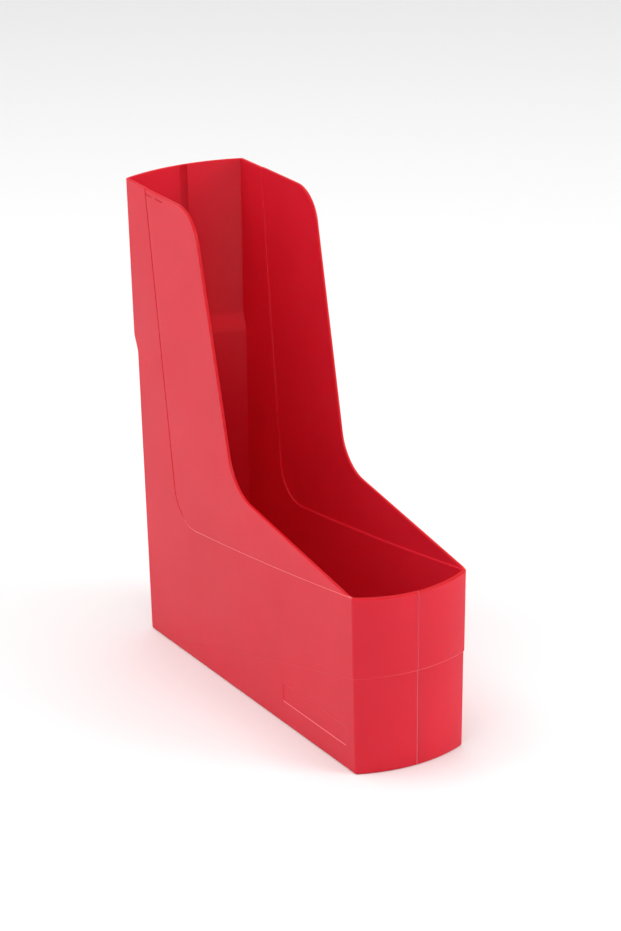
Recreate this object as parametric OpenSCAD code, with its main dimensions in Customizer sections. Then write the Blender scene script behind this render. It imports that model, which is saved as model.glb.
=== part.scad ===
// Magazine file holder: two thin moulded half shells that lap and snap together
// along the middle of the front wall, the floor and the back wall.
// Millimetres. X is the width, the low front wall faces -Y, Z is up.
// The origin is on the standing surface, under the middle of the overall depth.

/* [Overall size] */
// Height of the back wall and of the sides behind the cut-out
file_h = 300; // [280:1:330]
// Outside width across the two sides at the foot
base_w = 75.2; // [66:0.2:100]
// Outside depth from front corner to back corner at the foot
base_d = 250.6; // [230:0.2:270]
// Thickness of the walls
wall_t = 1.8; // [1.4:0.1:2.6]
// Thickness of the floor
floor_t = 2.2; // [1.6:0.1:3]

/* [Draft and bow] */
// Outward lean of each side wall, in degrees
side_draft = 0.74; // [0.2:0.02:1.5]
// Outward lean of the front wall's crown, in degrees
front_draft = 0.75; // [0.1:0.01:1.5]
// Outward lean of the back wall's crown, in degrees
back_draft = 0.97; // [0.1:0.01:1.5]
// Outside radius of the bowed front wall
front_r = 88; // [75:1:160]
// Outside radius of the bowed back wall
back_r = 105; // [75:1:160]

/* [Side cut-out] */
// Height of the sides at the front corners, where the cut-out ends
corner_h = 112.9; // [95:0.1:130]
// Depth position where the steep edge would meet the top edge
shoulder_y = 46.5; // [30:0.5:60]
// Lean of the steep edge away from the vertical, in degrees
steep_lean = 13; // [5:0.1:20]
// Rise of the long lower edge away from the horizontal, in degrees
lower_rise = 9.3; // [5:0.1:14]
// Radius of the rounded shoulder
shoulder_r = 24; // [15:1:36]
// Radius of the concave bend between the steep edge and the lower edge
bend_r = 30; // [15:1:40]

/* [Raised side panel] */
// How far the panel beside the cut-out stands out of the side
panel_proud = 0.9; // [0.4:0.1:1.2]
// Depth position where the panel's back border meets the top edge
panel_y = 107.5; // [95:0.5:112]
// Lean of the panel's back border away from the vertical, in degrees
panel_lean = 6.8; // [3:0.1:9]
// Height at which the panel's two borders would meet
panel_z = 88; // [80:0.5:95]
// Radius of the corner between the two borders
panel_r = 24; // [10:1:30]
// Radius of the very flat arc of the lower border
border_r = 3200; // [2500:100:6000]

/* [Steps in the lower walls] */
// Height of the step across the front wall
front_step_z = 61.5; // [50:0.5:75]
// How far the front wall above the step stands out
front_step = 0.6; // [0.4:0.1:1]
// How far each side is set back under its crease, at the front corner
side_step = 0.4; // [0.2:0.1:1]
// Depth position where the crease runs out at the foot
crease_y = 112; // [90:1:120]
// Height of the foot of the sloping shoulder across the back wall
back_step_z = 189; // [170:1:210]
// Height of that sloping shoulder
back_step_h = 10; // [6:1:16]
// How far the back wall above the shoulder stands out
back_step = 3.7; // [2:0.1:5]

/* [Centre joint] */
// Gap between the two halves on the outside
seam_gap = 0.16; // [0.1:0.02:0.3]
// Width of the left half's tongue behind the right half
lap_w = 5; // [4:0.5:8]
// Clearance round the tongue
lap_clear = 0.08; // [0.05:0.01:0.15]
// Length of a snap pad
pad_l = 9; // [6:1:14]
// Width of a snap pad
pad_w = 2; // [1.5:0.1:2.5]
// Clearance round a snap pad in its window
pad_clear = 0.25; // [0.15:0.05:0.4]

/* [Blank marking field] */
// Length of the plain field low on the left side
field_l = 72; // [50:1:90]
// Height of the field
field_h = 12; // [8:1:16]
// Depth of the field
field_depth = 0.3; // [0.2:0.05:0.5]
// Distance of the field from the front corner
field_inset = 10; // [8:0.5:20]
// Height of the field's lower edge
field_z = 15; // [10:1:25]

/* [Hidden] */
$fn = 96;

// A small overlap that keeps cuts clean
eps = 0.01;
// A length that reaches past the whole file in any direction
far = 500;
half_d = base_d / 2;
half_wall = wall_t / 2;
half_floor = floor_t / 2;
// Distance from the corner line of a wall to the crown of its bow, at the foot
front_bow = front_r - sqrt(pow(front_r, 2) - pow(base_w / 2, 2));
back_bow = back_r - sqrt(pow(back_r, 2) - pow(base_w / 2, 2));
// How far the crown of each end wall reaches from the middle of the foot, at its top
front_reach = half_d + front_bow + front_step + corner_h * tan(front_draft);
back_reach = half_d + back_bow + back_step + file_h * tan(back_draft);
// Distance from the middle of the foot to the middle of the overall depth
mid_y = (back_reach - front_reach) / 2;
// Each side narrows towards the front under its crease
crease_turn = atan(side_step / (half_d + crease_y));
// Flats that draw the lower border's arc
border_n = 6;
// How far a snap pad roots into the half that carries it
pad_root = 0.25;
// Heights of the snap pads up the front wall and the back wall, and places along the floor
front_pads = [34, 84];
back_pads = [55, 130, 240];
floor_pads = [-85, 0, 85];

// Directions in the side view, as [depth, height]
steep_dir = [sin(steep_lean), cos(steep_lean)];
lower_dir = [-cos(lower_rise), -sin(lower_rise)];
border_dir = [sin(panel_lean), cos(panel_lean)];

// Where the line through p along u crosses the line through q along v
function crossing(p, u, q, v) =
    p + u * ((q.x - p.x) * v.y - (q.y - p.y) * v.x) / (u.x * v.y - u.y * v.x);

// Corners of the side outline before they are rounded
front_top = [-half_d - front_step, corner_h];
shoulder = [shoulder_y, file_h];
bend = crossing(shoulder, steep_dir, front_top, lower_dir);
border_corner = crossing([panel_y, file_h], border_dir, [0, panel_z], [1, 0]);
border_end = [-half_d, corner_h];

// The lower border at a fraction t of its way from its corner to the front wall
function border(t) =
    let (sag = pow(norm(border_end - border_corner), 2) / (8 * border_r))
    border_corner + (border_end - border_corner) * t - [0, 4 * sag * t * (1 - t)];

// Filling between a rounding of radius r and the corner p, whose edges leave along u and v
module fillet(p, u, v, r) {
    half_turn = acos(u * v) / 2;
    reach = r / tan(half_turn);
    inward = (u + v) / norm(u + v);
    difference() {
        polygon([p - inward * eps, p + u * reach, p + v * reach]);
        translate(p + inward * r / sin(half_turn)) circle(r = r);
    }
}

// Side view of the file with the cut-out taken away
module side_outline() {
    difference() {
        union() {
            polygon([
                front_top + far * lower_dir, [-far, -far], [far, -far], [far, file_h],
                shoulder, bend
            ]);
            fillet(bend, steep_dir, lower_dir, bend_r);
        }
        fillet(shoulder, -steep_dir, [1, 0], shoulder_r);
    }
}

// Side view of the raised panel, from its two borders to past the cut-out
module panel_outline() {
    difference() {
        polygon(concat(
            [border_corner + far * border_dir],
            [for (k = [0 : border_n]) border(k / border_n)],
            [[-far, corner_h], [-far, far]]
        ));
        fillet(border_corner, border_dir, [-1, 0], panel_r);
    }
}

// Side view of the zone above the crease, or of the zone under it
module above_crease() {
    polygon([
        [-far, far], [-far, front_step_z], [-half_d, front_step_z], [crease_y, 0],
        [crease_y, -far], [far, -far], [far, far]
    ]);
}

module under_crease() {
    polygon([
        [-far, -far], [-far, front_step_z], [-half_d, front_step_z], [crease_y, 0],
        [crease_y, -far]
    ]);
}

// Makes a side view into a bar that runs through the whole width
module through_width() {
    rotate([90, 0, 90]) translate([0, 0, -far / 2]) linear_extrude(far) children();
}

// Space between the drafted side walls, inset by i, moved out by proud, and turned about
// the crease's back end so that it narrows towards the front
module side_space(i, proud = 0, turn = 0) {
    intersection_for (side = [0, 1])
        mirror([side, 0, 0])
            translate([i - proud - base_w / 2, crease_y, 0])
                rotate([0, -side_draft, 0])
                    rotate([0, 0, -turn])
                        translate([0, -far, -far / 10]) cube([far, 2 * far, far]);
}

// Plan of the space behind a wall that bows towards -Y, with its crown at the origin
module bow_plan(r, i) {
    translate([0, r]) circle(r = r - i);
    translate([-r, r]) square([2 * r, far]);
}

// Space behind the front wall, whose upper part stands out by step
module front_space(i, step) {
    translate([0, -half_d - front_bow, 0]) rotate([front_draft, 0, 0]) {
        translate([0, 0, -far / 10]) linear_extrude(far) bow_plan(front_r, i);
        if (step > 0)
            translate([0, -step, front_step_z])
                linear_extrude(far / 2) bow_plan(front_r + step, i);
    }
}

// Space before the back wall, with the sloping shoulder and the upper part over it
module back_space(i) {
    upper_r = back_r + back_step;
    translate([0, half_d + back_bow, 0]) rotate([-back_draft, 0, 0]) mirror([0, 1, 0]) {
        translate([0, 0, -far / 10]) linear_extrude(far) bow_plan(back_r, i);
        translate([0, back_r, back_step_z])
            cylinder(r1 = back_r - i, r2 = upper_r - i, h = back_step_h);
        translate([0, -back_step, back_step_z + back_step_h])
            linear_extrude(far / 2) bow_plan(upper_r, i);
    }
}

// The file as a solid block under the side outline, with every wall inset by i
module block(i, foot_z, step = 0) {
    intersection() {
        union() {
            intersection() {
                side_space(i);
                through_width() above_crease();
            }
            intersection() {
                side_space(i, turn = crease_turn);
                through_width() under_crease();
            }
            intersection() {
                side_space(i, proud = panel_proud);
                through_width() panel_outline();
            }
        }
        front_space(i, step);
        back_space(i);
        translate([-far / 2, -far / 2, foot_z]) cube(far);
    }
}

// All that lies between two planes across the width
module slab(x0, x1) {
    translate([x0, -far, -far]) cube([x1 - x0, 2 * far, 2 * far]);
}

// Walls and floor of the whole file, at full thickness
module full_wall() {
    difference() {
        block(0, 0, front_step);
        block(wall_t, floor_t);
    }
}

// Boxes at the places of the snap pads, grown by grow
module pad_places(grow) {
    x0 = lap_w / 2 - pad_w / 2 - grow;
    w = pad_w + 2 * grow;
    l = pad_l + 2 * grow;
    for (z = front_pads) translate([x0, -far / 2, z - l / 2]) cube([w, far / 2, l]);
    for (z = back_pads) translate([x0, 0, z - l / 2]) cube([w, far / 2, l]);
    for (y = floor_pads) translate([x0, y - l / 2, -far / 2]) cube([w, l, far / 2 + 2 * floor_t]);
}

// Shallow plain field low on the left side
module marking_field() {
    translate([field_depth - panel_proud - base_w / 2, crease_y, 0])
        rotate([0, -side_draft, 0])
            rotate([0, 0, -crease_turn])
                translate([-far, field_inset - half_d - crease_y, field_z])
                    cube([far + panel_proud, field_l, field_h]);
}

// Left half, with the tongue that reaches behind the right half
module left_shell() {
    color("crimson") translate([0, -mid_y, 0]) intersection() {
        union() {
            difference() {
                intersection() {
                    full_wall();
                    slab(-far / 2, -seam_gap / 2);
                }
                marking_field();
            }
            difference() {
                intersection() {
                    block(half_wall + lap_clear, half_floor + lap_clear);
                    slab(-lap_w, lap_w);
                }
                block(wall_t, floor_t);
                pad_places(pad_clear);
            }
        }
        through_width() side_outline();
    }
}

// Right half, with the rebate for the tongue and the pads that snap into its windows
module right_shell() {
    color("firebrick") translate([0, -mid_y, 0]) intersection() {
        union() {
            difference() {
                intersection() {
                    full_wall();
                    slab(seam_gap / 2, far / 2);
                }
                intersection() {
                    block(half_wall, half_floor);
                    slab(-lap_w, lap_w + lap_clear);
                }
            }
            difference() {
                intersection() {
                    block(half_wall - pad_root, half_floor - pad_root);
                    pad_places(0);
                }
                block(wall_t - pad_root, floor_t - pad_root);
            }
        }
        through_width() side_outline();
    }
}

left_shell();
right_shell();
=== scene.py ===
from math import asin, atan, atan2, cos, hypot, pi, radians, sin, sqrt, tan

import bmesh
import bpy
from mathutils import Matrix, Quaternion, Vector
from mathutils.geometry import delaunay_2d_cdt


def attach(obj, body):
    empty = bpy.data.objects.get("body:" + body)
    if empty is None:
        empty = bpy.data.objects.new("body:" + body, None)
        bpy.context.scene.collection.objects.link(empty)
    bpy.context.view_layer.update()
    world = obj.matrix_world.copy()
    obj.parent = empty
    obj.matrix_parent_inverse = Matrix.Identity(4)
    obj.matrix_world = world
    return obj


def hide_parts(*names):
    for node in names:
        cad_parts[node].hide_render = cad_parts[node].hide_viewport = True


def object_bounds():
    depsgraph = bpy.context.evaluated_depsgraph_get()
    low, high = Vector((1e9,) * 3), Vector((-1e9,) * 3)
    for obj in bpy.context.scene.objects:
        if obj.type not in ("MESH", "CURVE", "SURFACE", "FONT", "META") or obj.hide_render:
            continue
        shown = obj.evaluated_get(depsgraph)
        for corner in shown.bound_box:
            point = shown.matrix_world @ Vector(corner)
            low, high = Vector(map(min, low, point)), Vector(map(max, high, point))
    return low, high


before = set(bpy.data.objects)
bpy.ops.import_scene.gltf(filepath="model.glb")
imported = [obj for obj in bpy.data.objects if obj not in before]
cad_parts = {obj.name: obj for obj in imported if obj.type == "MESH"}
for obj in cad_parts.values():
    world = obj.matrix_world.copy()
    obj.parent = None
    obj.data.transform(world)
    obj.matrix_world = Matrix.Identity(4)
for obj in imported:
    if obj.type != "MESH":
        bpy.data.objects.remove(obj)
cad_low, cad_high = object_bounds()

# A magazine file holder made of two thin moulded half shells. Lengths are in millimetres until
# a mesh is finished. Depth is counted from the middle of the foot, as in the CAD part, and
# shifted by MID_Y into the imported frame. Heights start at the floor.
MM = 0.001

# Overall size, draft and bow, as in the CAD part
FILE_H = (cad_high.z - cad_low.z) / MM
BASE_W = 75.2
BASE_D = 250.6
WALL_T = 1.8
FLOOR_T = 2.2
SIDE_DRAFT = radians(0.74)
FRONT_DRAFT = radians(0.75)
BACK_DRAFT = radians(0.97)
FRONT_R = 88.0
BACK_R = 105.0

# Side cut-out
CORNER_H = 112.9
SHOULDER_Y = 46.5
STEEP_LEAN = radians(13)
LOWER_RISE = radians(9.3)
SHOULDER_R = 24.0
BEND_R = 30.0

# Raised side panel
PANEL_PROUD = 0.9
PANEL_Y = 107.5
PANEL_LEAN = radians(6.8)
PANEL_Z = 88.0
PANEL_R = 24.0
BORDER_R = 3200.0

# Steps in the lower walls
FRONT_STEP_Z = 61.5
FRONT_STEP = 0.6
SIDE_STEP = 0.4
CREASE_Y = 112.0
CREASE_END = 88.0
BACK_STEP_Z = 189.0
BACK_STEP_H = 10.0
BACK_STEP = 3.7

# Blank marking field and the two short grooves under the top edge
FIELD_L = 72.0
FIELD_H = 12.0
FIELD_DEPTH = 0.3
FIELD_INSET = 10.0
FIELD_Z = 15.0
FIELD_R = 0.8
GROOVE_Z = 296.7
GROOVE_H = 1.1
GROOVE_DEPTH = 0.3
GROOVES = ((97.4, 106.1), (84.1, 92.9))

# Joint between the halves
SEAM = 0.03
LAP_W = 5.0
LAP_CLEAR = 0.08
PAD_L = 9.0
PAD_W = 2.0
PAD_CLEAR = 0.25
FRONT_PADS = (34.0, 84.0)
BACK_PADS = (55.0, 130.0, 240.0)
FLOOR_PADS = (-85.0, 0.0, 85.0)

# Roundings that the moulded part has
CORNER_R = 2.4
TIGHT_R = 0.2
RIM_R = 0.5
FOOT_R = 1.2
FLOOR_R = 1.5
SEAM_R = 0.35
PAD_R = 0.25

# Widths of the roundings that draw each step, and half widths of the soft ramps of the marks
PANEL_ROUND = 0.9
CREASE_ROUND = 0.6
FIELD_SOFT = 0.25
GROOVE_SOFT = 0.22
BEND_SOFT = 1.5

# Shallow gutter beside the panel's steep border, and the depth at which the border's corner
# passes from the steep to the level part
GUTTER_W = 1.4
GUTTER_DEPTH = 0.42
CORNER_Y = 73.0
CORNER_FADE = 5.0

# How strongly the painted highlights and the painted shade show on the moulded edges, from 0 to 1
FIELD_HIGHLIGHT = 1.0
STEP_HIGHLIGHT = 0.7
STEP_HIGHLIGHT_LEFT = 0.1
STEP_HIGHLIGHT_X = 14.0
STEP_HIGHLIGHT_FADE = 22.0
STEP_REACH = 36.9
SEAM_HIGHLIGHT = 1.0
SEAM_HIGHLIGHT_TOP = 0.6
FOOT_SHADE = 0.7
EDGE_FROM = 0.03
EDGE_TO = 0.9

# Fineness of the meshes
LIFT_FROM = 105.0
RAMP = (-1.0, -0.6, -0.2, 0.2, 0.6, 1.0)
BEND = (-1.0, -0.5, 0.0, 0.5, 1.0)
LEVELS = tuple(sin(radians(a)) for a in (0, 18, 36, 52, 66, 78, 90))
SEAM_COLUMNS = (0.0, 0.13, 0.3, 0.55)
GUTTER_LINES = (0.25, 0.5, 0.75, 1.0)
FRONT_LEVELS = (30.0, 80.0)
LOW_LEVELS = (60.0, 120.0)
HIGH_LEVEL = 250.0
BOTTOM_STOPS = range(-100, 121, 20)
ARC_COLUMNS = 26
CORNER_COLUMNS = 9
ROUND_ROWS = 4
CURVE_PARTS = 26
BORDER_PARTS = 7
BOX_PARTS = 5
CLOSE = 0.001
MERGE = 0.004
NEAR_ZERO = 1e-6
RIM_PASSES = 4

# Fits of the joint's layers, and the least angle that stays sharp
FLUSH = 0.04
TONGUE_GAP = 0.4
SHARP = radians(34)

HALF_D = BASE_D / 2
FRONT_BOW = FRONT_R - sqrt(FRONT_R ** 2 - (BASE_W / 2) ** 2)
BACK_BOW = BACK_R - sqrt(BACK_R ** 2 - (BASE_W / 2) ** 2)
FRONT_REACH = HALF_D + FRONT_BOW + FRONT_STEP + CORNER_H * tan(FRONT_DRAFT)
BACK_REACH = HALF_D + BACK_BOW + BACK_STEP + FILE_H * tan(BACK_DRAFT)
MID_Y = (BACK_REACH - FRONT_REACH) / 2
CREASE_FALL = FRONT_STEP_Z / (HALF_D + CREASE_Y)
CREASE_COS = cos(atan(CREASE_FALL))
FAR = 30.0


def mix(a, b, t):
    return a + (b - a) * t


def ease(t):
    """Smooth rise from 0 to 1 while t goes from -1 to 1."""
    t = min(max((t + 1) / 2, 0.0), 1.0)
    return t * t * (3 - 2 * t)


def quarter(t):
    """Quarter round that rises steeply from 0 at t = 0 and levels off at 1 at t = 1."""
    t = min(max(t, 0.0), 1.0)
    return sqrt(1 - (1 - t) ** 2)


def soft_rise(t, soft):
    """Straight rise from 0 to 1 while t goes from 0 to 1, with both of its bends rounded."""
    if t > 0.5:
        return 1 - soft_rise(1 - t, soft)
    if t <= -soft:
        return 0.0
    return t if t >= soft else (t + soft) ** 2 / (4 * soft)


# ---- Plan of the walls

def half_width(z):
    return BASE_W / 2 + z * tan(SIDE_DRAFT)


def end_arc(end, z):
    """Centre and radius of an end wall's bow; end is -1 at the front and 1 at the back."""
    if end < 0:
        return FRONT_R - HALF_D - FRONT_BOW - z * tan(FRONT_DRAFT), FRONT_R
    out = BACK_STEP * soft_rise((z - BACK_STEP_Z) / BACK_STEP_H, BEND_SOFT / BACK_STEP_H)
    return HALF_D + BACK_BOW + z * tan(BACK_DRAFT) - BACK_R, BACK_R + out


def corner_axis(end, z, radius, off_wall=0.0, off_side=0.0):
    """Place of the rounded upright corner's axis, and the turn at which it meets the bow."""
    centre, bow = end_arc(end, z)
    x = half_width(z) + off_side - radius
    reach = sqrt((bow + off_wall - radius) ** 2 - x * x)
    return x, centre + end * reach, atan2(x, reach)


def edge_y(end, z):
    """Depth at which the flat side passes into the rounded corner."""
    return corner_axis(end, z, CORNER_R)[1]


def wall_point(end, column, z, off_wall, off_side):
    """Point of an end wall, off_wall outside its plain surface, and off_side at the side wall."""
    kind, value = column
    centre, bow = end_arc(end, z)
    tight = CORNER_R + min(off_wall, off_side) < TIGHT_R
    if tight:
        x, y, turn = corner_axis(end, z, TIGHT_R, off_wall, off_side)
    else:
        x, y, turn = corner_axis(end, z, CORNER_R)
    if kind == "corner":
        angle = turn + value * (pi / 2 - turn)
        reach = TIGHT_R if tight else CORNER_R + mix(off_wall, off_side, value)
        return Vector((x + reach * sin(angle), y + end * reach * cos(angle), z))
    reach = bow + off_wall
    if kind == "seam":
        angle = asin((SEAM + value) / reach)
    else:
        start = asin((SEAM + SEAM_R) / reach)
        angle = mix(start, turn, value)
    return Vector((reach * sin(angle), centre + end * reach * cos(angle), z))


def seam_cut(column):
    """How far the outer surface falls back at the rounded edge of the seam."""
    kind, value = column
    if kind != "seam":
        return 0.0
    return SEAM_R - sqrt(SEAM_R ** 2 - (SEAM_R - value) ** 2)


def wall_columns():
    """Columns of an end wall, from the seam to the side."""
    seam = [("seam", SEAM_R * s) for s in SEAM_COLUMNS]
    arc = [("arc", i / ARC_COLUMNS) for i in range(ARC_COLUMNS)]
    corner = [("corner", i / CORNER_COLUMNS) for i in range(CORNER_COLUMNS + 1)]
    return seam + arc + corner


# ---- Lines of the side view, as (depth, height)

def crossing(p, u, q, v):
    """Where the line through p along u crosses the line through q along v."""
    gap = q - p
    return p + u * ((gap.x * v.y - gap.y * v.x) / (u.x * v.y - u.y * v.x))


def rounded_path(points, radii):
    """The path through points with its corners rounded."""
    out = [points[0]]
    for before, here, after, radius in zip(points, points[1:], points[2:], radii):
        if radius == 0:
            out.append(here)
            continue
        u = (before - here).normalized()
        v = (after - here).normalized()
        half = u.angle(v) / 2
        centre = here + (u + v).normalized() * (radius / sin(half))
        start = here + u * (radius / tan(half)) - centre
        end = here + v * (radius / tan(half)) - centre
        sweep = start.angle_signed(end)
        for i in range(CURVE_PARTS + 1):
            a = -sweep * i / CURVE_PARTS
            turned = Vector((start.x * cos(a) - start.y * sin(a), start.x * sin(a) + start.y * cos(a)))
            out.append(centre + turned)
    out.append(points[-1])
    return out


def left_normals(path):
    """Unit normals to the left of the path at each of its points."""
    out = []
    for i, p in enumerate(path):
        before = path[max(i - 1, 0)]
        after = path[min(i + 1, len(path) - 1)]
        run = ((p - before).normalized() + (after - p).normalized()).normalized()
        out.append(Vector((-run.y, run.x)))
    return out


def shifted(path, by):
    """The path moved to its right."""
    return [p - n * by for p, n in zip(path, left_normals(path))]


def rim_z(y):
    """Height of the sloping lower edge of the cut-out, which runs on round the front wall."""
    return CORNER_H + (y + HALF_D + FRONT_STEP) * tan(LOWER_RISE)


def cut_out_line():
    """Edge of the cut-out, from the front to the back along the top."""
    low = Vector((cos(LOWER_RISE), sin(LOWER_RISE)))
    steep = Vector((sin(STEEP_LEAN), cos(STEEP_LEAN)))
    front = Vector((-HALF_D - FRONT_STEP, CORNER_H))
    shoulder = Vector((SHOULDER_Y, FILE_H))
    bend = crossing(shoulder, steep, front, low)
    back = Vector((edge_y(1, FILE_H), FILE_H))
    return rounded_path([front, bend, shoulder, back], [BEND_R, SHOULDER_R])


def panel_line():
    """Border of the raised panel, from above the top edge down and on past the front."""
    steep = Vector((sin(PANEL_LEAN), cos(PANEL_LEAN)))
    top = Vector((PANEL_Y, FILE_H))
    corner = crossing(top, steep, Vector((0, PANEL_Z)), Vector((1, 0)))
    end = Vector((-HALF_D, CORNER_H))
    sag = (end - corner).length ** 2 / (8 * BORDER_R)
    parts = BORDER_PARTS
    low = [corner + (end - corner) * (i / parts) for i in range(1, parts + 1)]
    low = [p - Vector((0, 4 * sag * i / parts * (1 - i / parts))) for i, p in enumerate(low, 1)]
    beyond = low[-1] + (low[-1] - low[-2]).normalized() * FAR
    points = [top + steep * FAR, corner] + low + [beyond]
    return rounded_path(points, [PANEL_R] + [0] * parts)


def crease_z(y):
    return (CREASE_Y - y) * CREASE_FALL


def box_gap(p, low, high, radius):
    """Distance inside the rounded box, negative outside."""
    y = abs(p.x - (low.x + high.x) / 2) - (high.x - low.x) / 2 + radius
    z = abs(p.y - (low.y + high.y) / 2) - (high.y - low.y) / 2 + radius
    return radius - hypot(max(y, 0), max(z, 0)) - min(max(y, z), 0)


def box_line(low, high, radius, grow):
    """Rounded box, grown outward by grow, as a closed path."""
    parts = BOX_PARTS
    r = radius + grow
    out = []
    for k, (y, z) in enumerate(((high.x, high.y), (low.x, high.y), (low.x, low.y), (high.x, low.y))):
        cy = y - radius if y == high.x else y + radius
        cz = z - radius if z == high.y else z + radius
        for i in range(parts + 1):
            a = (k + i / parts) * pi / 2
            out.append(Vector((cy + r * cos(a), cz + r * sin(a))))
    return out


def path_gap(p, path):
    """Distance to the right of the path, negative to its left."""
    best = None
    for a, b in zip(path, path[1:]):
        run = b - a
        t = min(max((p - a).dot(run) / run.length_squared, 0.0), 1.0)
        gap = p - a - run * t
        if best is None or gap.length_squared < best[0]:
            side = run.y * gap.x - run.x * gap.y
            best = (gap.length_squared, side)
    return sqrt(best[0]) * (1 if best[1] >= 0 else -1)


PANEL = panel_line()
RIM_LINE = cut_out_line()
FIELD_LOW = Vector((FIELD_INSET - HALF_D, FIELD_Z))
FIELD_HIGH = FIELD_LOW + Vector((FIELD_L, FIELD_H))


def groove_boxes():
    tall = Vector((0, GROOVE_H / 2))
    return [(Vector((a, GROOVE_Z)) - tall, Vector((b, GROOVE_Z)) + tall) for a, b in GROOVES]


def steep_part(y):
    """1 beside the panel's steep border, fading to 0 round its corner."""
    return ease((y - CORNER_Y) / CORNER_FADE)


def level_part(y):
    """1 beside the panel's long lower border, fading to 0 round its corner."""
    return 1 - steep_part(y)


def side_rise(y, z, marks):
    """How far the side stands out of its plain drafted plane."""
    p = Vector((y, z))
    above = (z - crease_z(y)) * CREASE_COS
    back_by = max(CREASE_Y - y, 0) / (CREASE_Y + HALF_D) * SIDE_STEP
    inside = path_gap(p, PANEL)
    rise = PANEL_PROUD * quarter(inside / PANEL_ROUND)
    if "gutter" in marks and PANEL_ROUND < inside < PANEL_ROUND + GUTTER_W:
        turn = (inside - PANEL_ROUND) / GUTTER_W * 2 * pi
        rise -= GUTTER_DEPTH * (1 - cos(turn)) / 2 * steep_part(y)
    rise -= back_by * (1 - quarter(above / CREASE_ROUND))
    if "field" in marks:
        rise -= FIELD_DEPTH * ease(box_gap(p, FIELD_LOW, FIELD_HIGH, FIELD_R) / FIELD_SOFT)
    if "grooves" in marks:
        for low, high in groove_boxes():
            rise -= GROOVE_DEPTH * ease(box_gap(p, low, high, GROOVE_H / 3) / GROOVE_SOFT)
    return rise


def mark_loops(marks):
    """Closed paths along the ramps of the field and the grooves."""
    loops = []
    if "field" in marks:
        loops += [box_line(FIELD_LOW, FIELD_HIGH, FIELD_R, FIELD_SOFT * s) for s in RAMP]
    if "grooves" in marks:
        for low, high in groove_boxes():
            loops += [box_line(low, high, GROOVE_H / 3, GROOVE_SOFT * s) for s in RAMP]
    return loops


def ramp_lines():
    """Open paths along the roundings of the panel's border and of the crease."""
    lines = [shifted(PANEL, PANEL_ROUND * (1 - s)) for s in LEVELS]
    lines += [shifted(PANEL, PANEL_ROUND + GUTTER_W * s) for s in GUTTER_LINES]
    start = -HALF_D - FAR
    for s in LEVELS:
        lift = CREASE_ROUND * (1 - s) / CREASE_COS
        ends = (start, CREASE_END)
        lines.append([Vector((y, crease_z(y) + lift)) for y in ends])
    return lines


# ---- One flat side as a net of triangles

def segment_hits(a, b, path):
    """Fractions along a to b at which the path crosses it."""
    out = []
    run = b - a
    for p, q in zip(path, path[1:]):
        other = q - p
        cross = run.x * other.y - run.y * other.x
        if abs(cross) < NEAR_ZERO ** 2:
            continue
        gap = p - a
        t = (gap.x * other.y - gap.y * other.x) / cross
        s = (gap.x * run.y - gap.y * run.x) / cross
        if NEAR_ZERO < t < 1 - NEAR_ZERO and 0 <= s <= 1:
            out.append(t)
    return out


def with_hits(path, lines):
    """The path with a new point wherever one of the lines crosses it."""
    out = [path[0]]
    for a, b in zip(path, path[1:]):
        hits = sorted(t for line in lines for t in segment_hits(a, b, line))
        out += [a + (b - a) * t for t in hits]
        out.append(b)
    return out


def side_net(foot, marks):
    """Bottom, back, rim and front paths round the flat side, and its triangles."""
    lines = ramp_lines()
    front_top = rim_side(-1)
    start = edge_y(-1, front_top)
    rim = [Vector((start, front_top))] + [p for p in RIM_LINE if p.x > start + RIM_R]
    normals = left_normals(rim)
    normals[0] = Vector((0, 1))
    rim = [p - n * RIM_R for p, n in zip(rim, normals)]
    rim = with_hits(rim, lines)
    levels = (foot, *FRONT_LEVELS, LIFT_FROM, front_top - RIM_R)
    front = [Vector((edge_y(-1, z), z)) for z in levels]
    front = [Vector((edge_y(-1, p.y), p.y)) for p in with_hits(front, lines)]
    back = [Vector((edge_y(1, z), z)) for z in back_levels(foot)]
    bottom = [front[0]] + [Vector((y, foot)) for y in BOTTOM_STOPS] + [back[0]]
    loop = bottom + back[1:] + rim[::-1][1:] + front[::-1][1:-1]
    points = list(loop)
    edges = [(i, (i + 1) % len(loop)) for i in range(len(loop))]
    for line in lines:
        edges += [(len(points) + i, len(points) + i + 1) for i in range(len(line) - 1)]
        points += line
    for line in mark_loops(marks):
        n = len(line)
        edges += [(len(points) + i, len(points) + (i + 1) % n) for i in range(n)]
        points += line
    verts, _, faces, *_ = delaunay_2d_cdt(points, edges, [], 1, CLOSE)
    return {"bottom": bottom, "back": back, "rim": rim, "front": front, "verts": verts, "faces": faces}


def back_levels(foot):
    """Heights of the rows of the back wall, close together at the bends of its step."""
    low = [BACK_STEP_Z + BEND_SOFT * s for s in BEND]
    high = [BACK_STEP_Z + BACK_STEP_H + BEND_SOFT * s for s in BEND]
    return [foot, *LOW_LEVELS, *low, *high, HIGH_LEVEL, FILE_H - RIM_R]


def rim_fix(end, column, off_wall, off_side):
    """Height of the rim at a column of an end wall."""
    if end > 0:
        return FILE_H
    z = CORNER_H
    for _ in range(RIM_PASSES):
        z = rim_z(wall_point(end, column, z, off_wall, off_side).y)
    return z


# ---- Shell of one half, with x counted outward from the seam

def add_grid(net, rows):
    """Adds quads between rows of points."""
    verts, faces = net
    start = len(verts)
    wide = len(rows[0])
    for row in rows:
        verts.extend(row)
    for i in range(len(rows) - 1):
        for j in range(wide - 1):
            a = start + i * wide + j
            faces.append((a, a + 1, a + wide + 1, a + wide))


def add_sheet(net, points, triangles):
    verts, faces = net
    start = len(verts)
    verts.extend(points)
    faces.extend([tuple(start + i for i in f) for f in triangles])


def wall_level(end, z):
    """Height in an end wall that goes with a height at its side: the front step and the crease meet."""
    if end > 0:
        return z
    over = z - crease_z(edge_y(-1, z))
    if abs(over) > 2 * CREASE_ROUND:
        return z
    return FRONT_STEP_Z + over * CREASE_COS


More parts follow.
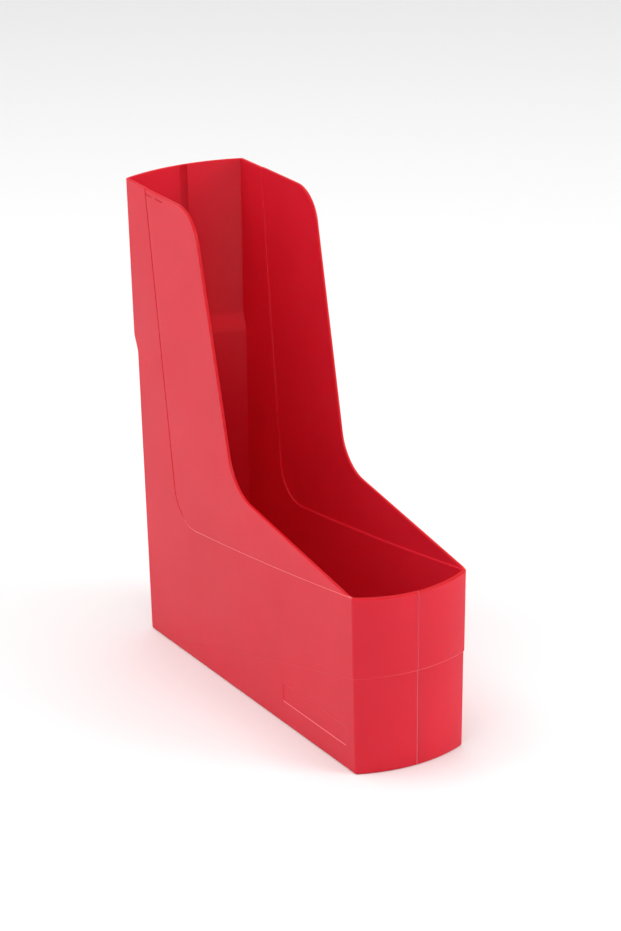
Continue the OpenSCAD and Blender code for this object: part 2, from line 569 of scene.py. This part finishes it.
def offsets(end, column, z, share, marks):
    """How far the surface stands out of the plain wall and side, at a share of the wall's thickness."""
    rise = FRONT_STEP * quarter((wall_level(end, z) - FRONT_STEP_Z) / CREASE_ROUND) if end < 0 else 0.0
    off_wall = mix(rise - seam_cut(column), -WALL_T, share)
    y = edge_y(end, z)
    off_side = mix(side_rise(y, z, marks), side_rise(y, z, ()) - WALL_T, share)
    return off_wall, off_side


def rim_side(end):
    return rim_fix(end, ("corner", 1.0), 0.0, 0.0)


def end_point(end, column, z, share, depth, marks):
    """Point of an end wall on the level that meets the side at height z."""
    off_wall, off_side = offsets(end, column, z, share, marks)
    off_wall -= depth
    off_side -= depth
    kind, value = column
    level = mix(wall_level(end, z), z, value) if kind == "corner" else wall_level(end, z)
    if end < 0 and z > LIFT_FROM:
        top = rim_side(end)
        part = min((z - LIFT_FROM) / (top - RIM_R - LIFT_FROM), 1.0)
        level += part * (rim_fix(end, column, off_wall, off_side) - top)
    return wall_point(end, column, level, off_wall, off_side)


def end_rows(end, levels, share, marks):
    return [[end_point(end, c, z, share, 0.0, marks) for c in wall_columns()] for z in levels]


def side_point(y, z, share, depth, marks):
    out = half_width(z) + side_rise(y, z, marks)
    into = half_width(z) + side_rise(y, z, ()) - WALL_T
    return Vector((mix(out, into, share) - depth, y, z))


def rim_row(side, share, drop, marks):
    """Line along the rim, at a share of the wall's thickness and drop under its top."""
    columns = wall_columns()
    row = [end_point(-1, c, rim_side(-1) - drop, share, 0.0, marks) for c in columns]
    for p, n in list(zip(side["rim"], left_normals(side["rim"])))[1:-1]:
        q = p + n * (RIM_R - drop)
        row.append(side_point(q.x, q.y, share, 0.0, marks))
    row += [end_point(1, c, rim_side(1) - drop, share, 0.0, marks) for c in reversed(columns)]
    return row


def foot_row(side, share, depth, z, marks):
    """Line round the foot of the walls, depth inside their surface."""
    columns = wall_columns()
    row = [end_point(-1, c, z, share, depth, marks) for c in columns]
    row += [side_point(p.x, z, share, depth, marks) for p in side["bottom"][1:-1]]
    row += [end_point(1, c, z, share, depth, marks) for c in reversed(columns)]
    return row


def round_steps():
    """Depth and drop along a quarter round of radius 1."""
    turns = [pi / 2 * i / ROUND_ROWS for i in range(ROUND_ROWS + 1)]
    return [(1 - cos(a), 1 - sin(a)) for a in turns]


def shell_net(marks):
    """Points and faces of one half, open along the seam."""
    net = ([], [])
    out = side_net(FOOT_R, marks)
    into = side_net(FLOOR_T + FLOOR_R, ())
    for side, share, kind in ((out, 0.0, marks), (into, 1.0, ())):
        add_grid(net, end_rows(-1, [p.y for p in side["front"]], share, kind))
        add_grid(net, end_rows(1, [p.y for p in side["back"]], share, kind))
        add_sheet(net, [side_point(p.x, p.y, share, 0.0, kind) for p in side["verts"]], side["faces"])
    steps = round_steps()
    profile = [(RIM_R * d / WALL_T, RIM_R * q) for d, q in steps]
    profile += [(1 - share, drop) for share, drop in reversed(profile)]
    add_grid(net, [rim_row(out, share, drop, marks) for share, drop in profile])
    foot = [foot_row(out, 0.0, FOOT_R * d, FOOT_R * q, marks) for d, q in steps]
    floor = [foot_row(into, 1.0, FLOOR_R * d, FLOOR_T + FLOOR_R * q, ()) for d, q in steps]
    for rows in (foot, floor):
        add_grid(net, rows)
        add_sheet(net, rows[-1], [tuple(range(len(rows[-1])))])
    return net


def make_object(name, verts, faces, side=1):
    """Closed object from millimetre points; side -1 mirrors it across the seam."""
    bm = bmesh.new()
    made = [bm.verts.new((side * p.x * MM, (p.y - MID_Y) * MM, p.z * MM)) for p in verts]
    for face in faces:
        corners = [made[i] for i in face]
        if len(set(corners)) > 2:
            bm.faces.new(corners)
    bmesh.ops.remove_doubles(bm, verts=bm.verts, dist=MERGE * MM)
    bmesh.ops.dissolve_degenerate(bm, dist=MERGE * MM / 4, edges=bm.edges)
    loose = [v for v in bm.verts if not v.link_faces]
    bmesh.ops.delete(bm, geom=loose, context="VERTS")
    open_edges = [e for e in bm.edges if len(e.link_faces) == 1]
    if open_edges:
        made = bmesh.ops.contextual_create(bm, geom=open_edges)["faces"]
        bmesh.ops.triangulate(bm, faces=made, ngon_method="EAR_CLIP")
    bmesh.ops.recalc_face_normals(bm, faces=bm.faces)
    mesh = bpy.data.meshes.new(name)
    bm.to_mesh(mesh)
    bm.free()
    obj = bpy.data.objects.new(name, mesh)
    bpy.context.scene.collection.objects.link(obj)
    return obj


# ---- Joint: the left half's tongue, the right half's rebate, and the snap pads

def bow_y(end, x, z, depth):
    """Depth position of an end wall at x, depth inside its lower surface."""
    centre, bow = end_arc(end, z)
    return centre + end * sqrt((bow - depth) ** 2 - x * x)


def lap_path(x, depth, floor, radius, gap):
    """Run of the joint's layer down the front, along the floor and up the back, at x."""
    top = CORNER_H
    for _ in range(RIM_PASSES):
        top = rim_z(bow_y(-1, x, top, depth))
    levels = back_levels(floor + radius)
    levels[-1] = FILE_H - gap
    turn = [pi / 2 * i / ROUND_ROWS for i in range(1, ROUND_ROWS)]
    front = (top - gap, LOW_LEVELS[0], floor + radius)
    path = [Vector((x, bow_y(-1, x, z, depth), z)) for z in front]
    start = path[-1].y + radius
    path += [Vector((x, start - radius * cos(a), floor + radius * (1 - sin(a)))) for a in turn]
    path.append(Vector((x, start, floor)))
    start = bow_y(1, x, levels[0], depth) - radius
    path.append(Vector((x, start, floor)))
    path += [Vector((x, start + radius * sin(a), floor + radius * (1 - cos(a)))) for a in turn]
    path += [Vector((x, bow_y(1, x, z, depth), z)) for z in levels]
    return path


def lap_bar(name, xs, outer, inner, gap):
    """Closed bar along the joint between two layers, each a depth, a floor height and a radius."""
    out = [lap_path(x, *outer, gap) for x in xs]
    into = [lap_path(x, *inner, gap) for x in xs]
    net = ([], [])
    add_grid(net, out)
    add_grid(net, into)
    add_grid(net, [out[0], into[0]])
    add_grid(net, [out[-1], into[-1]])
    add_grid(net, [[row[0] for row in out], [row[0] for row in into]])
    add_grid(net, [[row[-1] for row in out], [row[-1] for row in into]])
    return make_object(name, *net)


def pad_block(name, place, at, grow, shallow, deep):
    """Block at a snap pad's place, between two depths inside the outer surface."""
    x0 = LAP_W / 2 - PAD_W / 2 - grow
    x1 = LAP_W / 2 + PAD_W / 2 + grow
    half = PAD_L / 2 + grow
    verts = []
    for x in (x0, x1):
        for run in (at - half, at + half):
            for depth in (shallow, deep):
                y = run if place == 0 else bow_y(place, x, run, depth)
                z = depth if place == 0 else run
                verts.append(Vector((x, y, z)))
    faces = [(0, 1, 3, 2), (4, 5, 7, 6), (0, 1, 5, 4), (2, 3, 7, 6), (0, 2, 6, 4), (1, 3, 7, 5)]
    return make_object(name, verts, faces)


def pad_places():
    front = [(-1, z) for z in FRONT_PADS]
    floor = [(0, y) for y in FLOOR_PADS]
    return front + floor + [(1, z) for z in BACK_PADS]


def soften(obj, radius):
    mesh = obj.data
    bm = bmesh.new()
    bm.from_mesh(mesh)
    bmesh.ops.bevel(bm, geom=bm.edges, offset=radius * MM, segments=2, affect="EDGES", profile=0.5)
    bm.to_mesh(mesh)
    bm.free()


def combine(obj, tools, operation):
    """Unites the tools with the object, or cuts them from it, and removes them."""
    for tool in tools:
        cut = obj.modifiers.new("combine", "BOOLEAN")
        cut.object = tool
        cut.operation = operation
        cut.solver = "MANIFOLD"
    graph = bpy.context.evaluated_depsgraph_get()
    mesh = bpy.data.meshes.new_from_object(obj.evaluated_get(graph))
    obj.modifiers.clear()
    old = obj.data
    obj.data = mesh
    bpy.data.meshes.remove(old)
    for tool in tools:
        bpy.data.objects.remove(tool)


# ---- Painted highlights and painted shade on the edges

def outer_side(x, y, z):
    return abs(x) > half_width(z) + side_rise(y, z, ()) - WALL_T / 2


def outer_front(x, y, z):
    centre, bow = end_arc(-1, z)
    return y < centre and hypot(x, y - centre) > bow - WALL_T / 2


def within(value, low, high):
    """1 between two limits and 0 outside."""
    return 1.0 if low < value < high else 0.0


def painted_highlight(x, y, z):
    """Painted highlight on the panel's level border, the field's frame, the front step and the seam."""
    p = Vector((y, z))
    tone = 0.0
    if outer_side(x, y, z):
        tone = within(path_gap(p, PANEL) / PANEL_ROUND, EDGE_FROM, EDGE_TO) * level_part(y)
        gap = box_gap(p, FIELD_LOW, FIELD_HIGH, FIELD_R)
        if x < 0 and (y < FIELD_LOW.x + FIELD_R or z < FIELD_LOW.y + FIELD_R):
            tone = max(tone, within(abs(gap) / FIELD_SOFT, -1, EDGE_TO) * FIELD_HIGHLIGHT)
    if outer_front(x, y, z):
        above = (z - FRONT_STEP_Z) / CREASE_ROUND
        on_step = within(above, EDGE_FROM, EDGE_TO) * within(x, -STEP_REACH, STEP_REACH)
        # The front step's painted highlight is strong on the right and faint on the left.
        along = ease((x + STEP_HIGHLIGHT_X) / STEP_HIGHLIGHT_FADE)
        tone = max(tone, on_step * mix(STEP_HIGHLIGHT_LEFT, STEP_HIGHLIGHT, along))
        seam = SEAM_HIGHLIGHT if z < FRONT_STEP_Z else SEAM_HIGHLIGHT_TOP
        tone = max(tone, within(x, -SEAM - SEAM_R * 0.4, SEAM + SEAM_R * EDGE_TO) * seam)
    return tone


def painted_shade(x, y, z):
    """Painted shade on the bare edges of the rim, the foot, the gutter and the grooves."""
    p = Vector((y, z))
    rim = RIM_R * EDGE_TO
    near_rim = z > FILE_H - rim or path_gap(p, RIM_LINE) < rim
    if y < -HALF_D + CORNER_R:
        near_rim = z > rim_z(y) - rim
    tone = 1.0 if near_rim else within(z, -1, FOOT_R * EDGE_TO) * FOOT_SHADE
    if outer_side(x, y, z):
        inside = (path_gap(p, PANEL) - PANEL_ROUND) / GUTTER_W
        tone = max(tone, within(inside, EDGE_FROM, EDGE_TO) * steep_part(y))
        for low, high in groove_boxes():
            tone = max(tone, within(box_gap(p, low, high, GROOVE_H / 3), 0, GROOVE_H))
    return tone


def add_painted_light(obj):
    """Stores the painted highlight and the painted shade on the mesh's points."""
    light = obj.data.attributes.new("painted_highlight_edge", "FLOAT", "POINT")
    deep = obj.data.attributes.new("painted_shade_edge", "FLOAT", "POINT")
    for i, vert in enumerate(obj.data.vertices):
        place = (vert.co.x / MM, vert.co.y / MM + MID_Y, vert.co.z / MM)
        light.data[i].value = painted_highlight(*place)
        deep.data[i].value = painted_shade(*place)


def smooth(obj):
    """Smooth shading that keeps the flat faces flat."""
    obj.data.shade_smooth()
    obj.data.set_sharp_from_angle(angle=SHARP)
    normals = obj.modifiers.new("normals", "WEIGHTED_NORMAL")
    normals.weight = 100
    normals.keep_sharp = True


def left_half():
    half = make_object("left_half", *shell_net(("gutter", "field", "grooves")), side=-1)
    outer = (WALL_T / 2 + LAP_CLEAR, FLOOR_T / 2 + LAP_CLEAR, TIGHT_R)
    inner = (WALL_T - FLUSH, FLOOR_T - FLUSH, FLOOR_R)
    tongue = lap_bar("tongue", (-LAP_W, 0.0, LAP_W / 2, LAP_W), outer, inner, TONGUE_GAP)
    windows = [pad_block("window", p, at, PAD_CLEAR, WALL_T / 4, 2 * FLOOR_T) for p, at in pad_places()]
    combine(tongue, windows, "DIFFERENCE")
    combine(half, [tongue], "UNION")
    return half


def right_half():
    half = make_object("right_half", *shell_net(("gutter", "grooves")))
    outer = (WALL_T / 2, FLOOR_T / 2, TIGHT_R)
    inner = (2 * WALL_T, 2 * FLOOR_T, FLOOR_R)
    rebate = lap_bar("rebate", (-LAP_W, 0.0, LAP_W / 2, LAP_W + LAP_CLEAR), outer, inner, -WALL_T)
    combine(half, [rebate], "DIFFERENCE")
    pads = []
    for place, at in pad_places():
        deep = FLOOR_T if place == 0 else WALL_T
        pads.append(pad_block("pad", place, at, 0.0, deep / 4, deep - 2 * FLUSH))
    for pad in pads:
        soften(pad, PAD_R)
    combine(half, pads, "UNION")
    return half


# ---- Plastic; grain and bump distances are in metres

RED_DEEP = (0.655, 0.014, 0.035)
RED_PALE = (0.71, 0.018, 0.042)
# Colours of the painted shade and of the painted highlight on the edges
PAINTED_SHADE_RED = (0.6, 0.003, 0.012)
PAINTED_HIGHLIGHT_PINK = (0.9, 0.2, 0.24)
CLOUD_SCALE = 14.0
WAVE_SCALE = 22.0
GRAIN_SCALE = 2600.0
GRAIN_ROUGHNESS = 0.6
NOISE_LOW = 0.3
NOISE_HIGH = 0.7
SATIN = (0.3, 0.38)
BUMP = 0.25
GRAIN_BUMP = 0.00003
WAVE_BUMP = 0.0006
IOR = 1.55
SPECULAR = 0.175
THROUGH = 0.8
THROUGH_RADIUS = (1.0, 0.06, 0.06)
THROUGH_SCALE = 0.003


def add_node(tree, kind, **values):
    """A shader node with some of its inputs set."""
    node = tree.nodes.new(kind)
    for name, value in values.items():
        node.inputs[name.replace("_", " ")].default_value = value
    return node


def noise(tree, where, scale, detail, roughness=0.5):
    node = add_node(tree, "ShaderNodeTexNoise", Scale=scale, Detail=detail, Roughness=roughness)
    tree.links.new(where, node.inputs["Vector"])
    return node.outputs["Fac"]


def ranged(tree, value, low, high):
    """Maps the middle of a noise's range to low..high."""
    node = tree.nodes.new("ShaderNodeMapRange")
    node.inputs["From Min"].default_value = NOISE_LOW
    node.inputs["From Max"].default_value = NOISE_HIGH
    node.inputs["To Min"].default_value = low
    node.inputs["To Max"].default_value = high
    tree.links.new(value, node.inputs["Value"])
    return node.outputs["Result"]


def tinted(tree, colour, tone, target):
    """Mixes the colour towards the target by a tone stored on the mesh."""
    where = tree.nodes.new("ShaderNodeAttribute")
    where.attribute_name = tone
    blend = tree.nodes.new("ShaderNodeMix")
    blend.data_type = "RGBA"
    blend.inputs["B"].default_value = (*target, 1)
    tree.links.new(where.outputs["Fac"], blend.inputs["Factor"])
    tree.links.new(colour, blend.inputs["A"])
    return blend.outputs["Result"]


def plastic(name, deep, pale):
    """Satin, slightly translucent plastic with a fine mould grain, faint flow clouds, and painted
    highlights and painted shade on its edges.
    """
    mat = bpy.data.materials.new(name)
    mat.use_nodes = True
    tree = mat.node_tree
    shader = tree.nodes["Principled BSDF"]
    where = tree.nodes.new("ShaderNodeTexCoord").outputs["Object"]
    clouds = noise(tree, where, CLOUD_SCALE, 3.0)
    grain = noise(tree, where, GRAIN_SCALE, 2.0, GRAIN_ROUGHNESS)
    waves = noise(tree, where, WAVE_SCALE, 1.0)
    blend = tree.nodes.new("ShaderNodeMix")
    blend.data_type = "RGBA"
    blend.inputs["A"].default_value = (*deep, 1)
    blend.inputs["B"].default_value = (*pale, 1)
    tree.links.new(ranged(tree, clouds, 0.0, 1.0), blend.inputs["Factor"])
    # Painted shade deepens the rims, foot, steep gutter and grooves; painted highlights pale the
    # panel's level border, the field's frame, the front step and the seam.
    toned = tinted(tree, blend.outputs["Result"], "painted_shade_edge", PAINTED_SHADE_RED)
    toned = tinted(tree, toned, "painted_highlight_edge", PAINTED_HIGHLIGHT_PINK)
    tree.links.new(toned, shader.inputs["Base Color"])
    tree.links.new(ranged(tree, waves, *SATIN), shader.inputs["Roughness"])
    fine = add_node(tree, "ShaderNodeBump", Strength=BUMP, Distance=GRAIN_BUMP)
    broad = add_node(tree, "ShaderNodeBump", Strength=BUMP, Distance=WAVE_BUMP)
    tree.links.new(grain, fine.inputs["Height"])
    tree.links.new(waves, broad.inputs["Height"])
    tree.links.new(broad.outputs["Normal"], fine.inputs["Normal"])
    tree.links.new(fine.outputs["Normal"], shader.inputs["Normal"])
    shader.inputs["IOR"].default_value = IOR
    shader.inputs["Specular IOR Level"].default_value = SPECULAR
    shader.inputs["Subsurface Weight"].default_value = THROUGH
    shader.inputs["Subsurface Radius"].default_value = THROUGH_RADIUS
    shader.inputs["Subsurface Scale"].default_value = THROUGH_SCALE
    return mat


# ---- Studio; the camera's place is in millimetres, lights are in metres and watts

CAMERA_PLACE = (-918.66, -1572.01, 850.13)
CAMERA_TURN = radians(30.594)
CAMERA_FALL = radians(21.192)
CAMERA_ROLL = radians(-0.80)
CAMERA_LENS = 124.76
CAMERA_SENSOR = 36
CAMERA_REACH = (0.05, 30)
WORLD_LIGHT = 0.6
WORLD_SEEN = 1.0
FLOOR_HALF = 8.0
FLOOR_WHITE = 0.97
LIGHTS = {
    "overhead_box": ((-0.3, 0.0, 2.4), 2.0, 29),
    "front_right_box": ((1.6, -1.9, 1.2), 1.2, 22),
    "left_box": ((-1.9, 1.0, 1.3), 1.4, 9),
}


def add_camera():
    data = bpy.data.cameras.new("camera")
    data.sensor_width = CAMERA_SENSOR
    data.lens = CAMERA_LENS
    data.clip_start, data.clip_end = CAMERA_REACH
    camera = bpy.data.objects.new("camera", data)
    bpy.context.scene.collection.objects.link(camera)
    flat = cos(CAMERA_FALL)
    look = Vector((sin(CAMERA_TURN) * flat, cos(CAMERA_TURN) * flat, -sin(CAMERA_FALL)))
    camera.rotation_mode = "QUATERNION"
    camera.rotation_quaternion = look.to_track_quat("-Z", "Y") @ Quaternion((0, 0, 1), CAMERA_ROLL)
    camera.location = Vector(CAMERA_PLACE) * MM
    bpy.context.scene.camera = camera


def add_light(name, place, size, watts):
    """Square soft box that looks at the middle of the file."""
    data = bpy.data.lights.new(name, "AREA")
    data.size = size
    data.energy = watts
    light = bpy.data.objects.new(name, data)
    bpy.context.scene.collection.objects.link(light)
    light.location = place
    aim = Vector((0, 0, FILE_H * MM / 2)) - Vector(place)
    light.rotation_mode = "QUATERNION"
    light.rotation_quaternion = aim.to_track_quat("-Z", "Y")


def add_world():
    world = bpy.data.worlds.new("studio")
    world.use_nodes = True
    tree = world.node_tree
    back = tree.nodes["Background"]
    back.inputs["Color"].default_value = (1, 1, 1, 1)
    seen = tree.nodes.new("ShaderNodeLightPath").outputs["Is Camera Ray"]
    strength = tree.nodes.new("ShaderNodeMapRange")
    strength.inputs["To Min"].default_value = WORLD_LIGHT
    strength.inputs["To Max"].default_value = WORLD_SEEN
    tree.links.new(seen, strength.inputs["Value"])
    tree.links.new(strength.outputs["Result"], back.inputs["Strength"])
    bpy.context.scene.world = world
    bpy.context.scene.view_settings.view_transform = "Standard"


def add_floor():
    mesh = bpy.data.meshes.new("floor")
    half = FLOOR_HALF
    corners = [(-half, -half, 0), (half, -half, 0), (half, half, 0), (-half, half, 0)]
    mesh.from_pydata(corners, [], [(0, 1, 2, 3)])
    floor = bpy.data.objects.new("floor", mesh)
    bpy.context.scene.collection.objects.link(floor)
    mat = bpy.data.materials.new("floor_white")
    mat.use_nodes = True
    shader = mat.node_tree.nodes["Principled BSDF"]
    shader.inputs["Base Color"].default_value = (FLOOR_WHITE, FLOOR_WHITE, FLOOR_WHITE, 1)
    shader.inputs["Roughness"].default_value = 1.0
    mesh.materials.append(mat)


def build():
    red = plastic("red_plastic_look", RED_DEEP, RED_PALE)
    for made, node in ((left_half(), "left_shell"), (right_half(), "right_shell")):
        add_painted_light(made)
        smooth(made)
        made.data.materials.clear()
        made.data.materials.append(red)
        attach(made, "root")
        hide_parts(node)
    add_camera()
    add_world()
    add_floor()
    for name, (place, size, watts) in LIGHTS.items():
        add_light(name, place, size, watts)


build()
